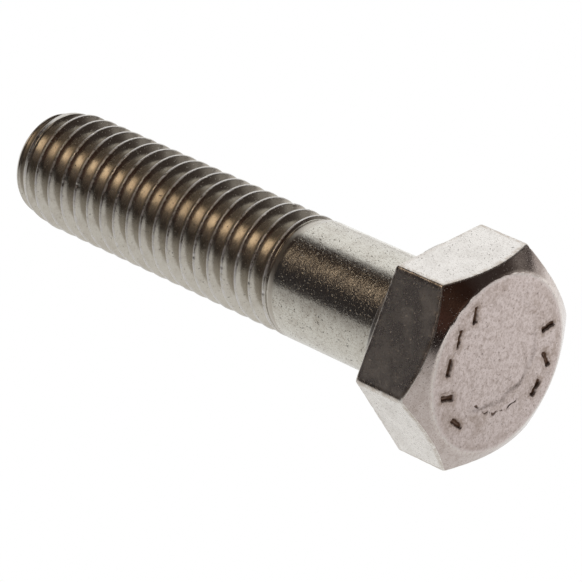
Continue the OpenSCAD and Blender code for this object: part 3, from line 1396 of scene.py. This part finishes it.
@dataclass(frozen=True)
class Camera:
    """The camera, aimed at a point on the bolt's upright mid-plane.

    Attributes:
        target: the point that it looks at.
        distance: how far away it stands.
        azimuth: how far round it stands from the -Y side towards +X, in degrees.
        elevation: its height above the horizon, in degrees.
        roll: its turn about its own line of sight, in degrees.
        lens: its focal length, in millimetres.
        sensor: the width of its sensor, in millimetres.
        clip: the distance from which it sees.
    """

    target: Triple = (-12.382 * MM, 0.0, -1.569 * MM)
    distance: float = 256.64 * MM
    azimuth: float = 46.022
    elevation: float = 28.346
    roll: float = -1.48
    lens: float = 251.58
    sensor: float = 36.0
    clip: float = 10 * MM

    def build(self) -> bpy.types.Object:
        """Makes the camera and gives it to the scene.

        Returns:
            The camera.
        """
        turn, rise = math.radians(self.azimuth), math.radians(self.elevation)
        back = Vector((math.sin(turn) * math.cos(rise), -math.cos(turn) * math.cos(rise),
                       math.sin(rise)))
        data = bpy.data.cameras.new("camera")
        data.lens = self.lens
        data.sensor_width = self.sensor
        data.clip_start = self.clip
        camera = bpy.data.objects.new("camera", data)
        rotation = (-back).to_track_quat("-Z", "Y").to_matrix().to_4x4()
        roll = Matrix.Rotation(math.radians(self.roll), 4, "Z")
        camera.matrix_world = Matrix.Translation(Vector(self.target) + back * self.distance) @ (
            rotation @ roll)
        bpy.context.scene.collection.objects.link(camera)
        bpy.context.scene.camera = camera
        return camera


@dataclass(frozen=True)
class Patch:
    """A round patch of light or dark among the directions around the table.

    Attributes:
        direction: the direction of its middle.
        inner: the radius in degrees within which it is full.
        outer: the radius in degrees beyond which it is gone.
        light: its light.
    """

    direction: Triple
    inner: float
    outer: float
    light: Colour


@dataclass(frozen=True)
class Studio:
    """A white table with a white screen behind it, in a dark room with warm lamps.

    Attributes:
        table_size: the side of the table.
        table_near: the table's light where it is darkest, on the -Y side.
        table_far: the table's light where it is brightest, on the +Y side.
        table_fade: the places along Y between which it changes.
        table_beyond: its light far away on the +Y side.
        beyond_fade: the places along Y between which it falls to that.
        screen_facing: the direction of the screen from the bolt, in degrees from the -Y side.
        screen_half: half the screen's width, in degrees.
        screen_edge: half the width of its soft edge, in degrees.
        screen_top: the height of its top edge, as the sine of its elevation.
        screen_top_edge: half the width of that edge, as the same sine.
        screen_light: how bright the screen is.
        room: the colour of the dark room.
        patches: the lamps and the dark and warm parts of the room.
    """

    table_size: float = 4.0
    table_near: Colour = (0.42, 0.41, 0.4)
    table_far: Colour = (1.1, 1.1, 1.09)
    table_fade: tuple[float, float] = (-45 * MM, 35 * MM)
    table_beyond: Colour = (0.62, 0.59, 0.57)
    beyond_fade: tuple[float, float] = (45 * MM, 110 * MM)
    screen_facing: float = 211.0
    screen_half: float = 37.5
    screen_edge: float = 9.0
    screen_top: float = 0.85
    screen_top_edge: float = 0.07
    screen_light: float = 0.97
    room: Colour = (0.05, 0.04, 0.036)
    patches: tuple[Patch, ...] = (
        Patch((0.985, -0.1, 0.07), 8, 28, (0.012, 0.009, 0.008)),
        Patch((0.90, 0.12, 0.44), 8, 20, (0.025, 0.012, 0.008)),
        Patch((0.94, -0.15, 0.30), 3, 9, (0.08, 0.04, 0.03)),
        Patch((0.94, 0.13, 0.25), 3, 10, (0.11, 0.065, 0.045)),
        Patch((0.62, 0.77, 0.14), 3, 11, (0.1, 0.085, 0.075)),
        Patch((0.49, 0.87, 0.05), 6, 12, (0.3, 0.28, 0.26)),
        Patch((-0.2, 0.2, 0.95), 8, 24, (0.17, 0.14, 0.12)),
        Patch((-0.633, -0.1, 0.77), 8, 22, (0.03, 0.022, 0.019)),
        Patch((0.2, 0.15, 0.97), 3, 11, (1.1, 0.95, 0.8)),
        Patch((-0.2, -0.74, 0.64), 5, 20, (0.26, 0.215, 0.19)),
        Patch((-0.633, -0.714, 0.3), 9, 20, (0.028, 0.025, 0.026)),
        Patch((-0.325, -0.43, 0.83), 3, 18, (2.2, 1.75, 1.3)),
    )

    def table(self, height: float) -> bpy.types.Object:
        """Makes the table top, which glows and can't be seen from below.

        The camera sees it white. The bolt mirrors a table that is darker on the -Y side and far
        away on the +Y side.

        Args:
            height: where its surface is.

        Returns:
            The table top.
        """
        half = self.table_size / 2
        mesh = bpy.data.meshes.new("table")
        mesh.from_pydata([(-half, -half, height), (half, -half, height), (half, half, height),
                          (-half, half, height)], [], [(0, 1, 2, 3)])
        material = bpy.data.materials.new("table_white")
        material.use_nodes = True
        nodes = Nodes(material.node_tree)
        here = nodes.add("TexCoord", output="Object")
        across = nodes.add("SeparateXYZ", {}, {0: here}, 1)
        light = nodes.mix(across.step(*self.table_fade), self.table_near, self.table_far)
        light = nodes.mix(across.step(*self.beyond_fade), light, self.table_beyond)
        camera_ray = nodes.add("LightPath", output="Is Camera Ray")
        glow = nodes.add("Emission", {}, {"Color": nodes.mix(camera_ray, light, (1, 1, 1))})
        clear = nodes.add("BsdfTransparent")
        below = nodes.add("NewGeometry", output="Backfacing")
        surface = nodes.add("MixShader", {}, {0: below, 1: glow, 2: clear})
        nodes.add("OutputMaterial", {}, {"Surface": surface})
        mesh.materials.append(material)
        table = bpy.data.objects.new("table", mesh)
        bpy.context.scene.collection.objects.link(table)
        table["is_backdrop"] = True
        return table

    def surroundings(self) -> None:
        """Makes the light that comes from around the table.

        The camera sees white, as beyond the table's edge. Everything else sees the dark room with
        its patches, and the screen.
        """
        world = bpy.data.worlds.new("surroundings")
        bpy.context.scene.world = world
        world.use_nodes = True
        nodes = Nodes(world.node_tree)
        way = nodes.add("TexCoord", output="Generated")
        x, y, z = (nodes.add("SeparateXYZ", {}, {0: way}, axis) for axis in range(3))

        colour = nodes.add("RGB")
        colour.socket.default_value = (*self.room, 1.0)
        for patch in self.patches:
            middle = Vector(patch.direction).normalized()
            towards = x * middle.x + y * middle.y + z * middle.z
            share = towards.step(math.cos(math.radians(patch.outer)),
                                 math.cos(math.radians(patch.inner)))
            colour = nodes.mix(share, colour, patch.light)

        turn = math.radians(self.screen_facing)
        not_zero = 0.0001
        level = (x * x + y * y + not_zero) ** 0.5
        facing = (x * math.sin(turn) - y * math.cos(turn)) / level
        across = facing.step(math.cos(math.radians(self.screen_half + self.screen_edge)),
                             math.cos(math.radians(self.screen_half - self.screen_edge)))
        screen = across * z.step(self.screen_top + self.screen_top_edge,
                                 self.screen_top - self.screen_top_edge)
        colour = nodes.mix(screen, colour, (self.screen_light,) * 3)

        around_it = nodes.add("Background", {}, {"Color": colour})
        seen = nodes.add("Background", {}, {"Color": (1, 1, 1, 1)})
        camera_ray = nodes.add("LightPath", output="Is Camera Ray")
        light = nodes.add("MixShader", {}, {0: camera_ray, 1: around_it, 2: seen})
        nodes.add("OutputWorld", {}, {"Surface": light})

    def build(self, height: float) -> None:
        """Makes the table and the light.

        Args:
            height: where the table's surface is.
        """
        self.table(height)
        self.surroundings()
        bpy.context.scene.view_settings.view_transform = "Standard"


def main() -> None:
    """Builds the camera, the studio and the bolt."""
    logging.basicConfig(level=logging.INFO, format="%(name)s: %(message)s")
    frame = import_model()
    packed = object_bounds()
    LOG.info("packed part: %s", frame)
    sizes = Sizes.from_frame()
    Camera().build()
    Studio().build(packed[0].z)
    Head(sizes).build()
    Neck(sizes).build()
    Thread(sizes).build()


if __name__ == "__main__":
    main()
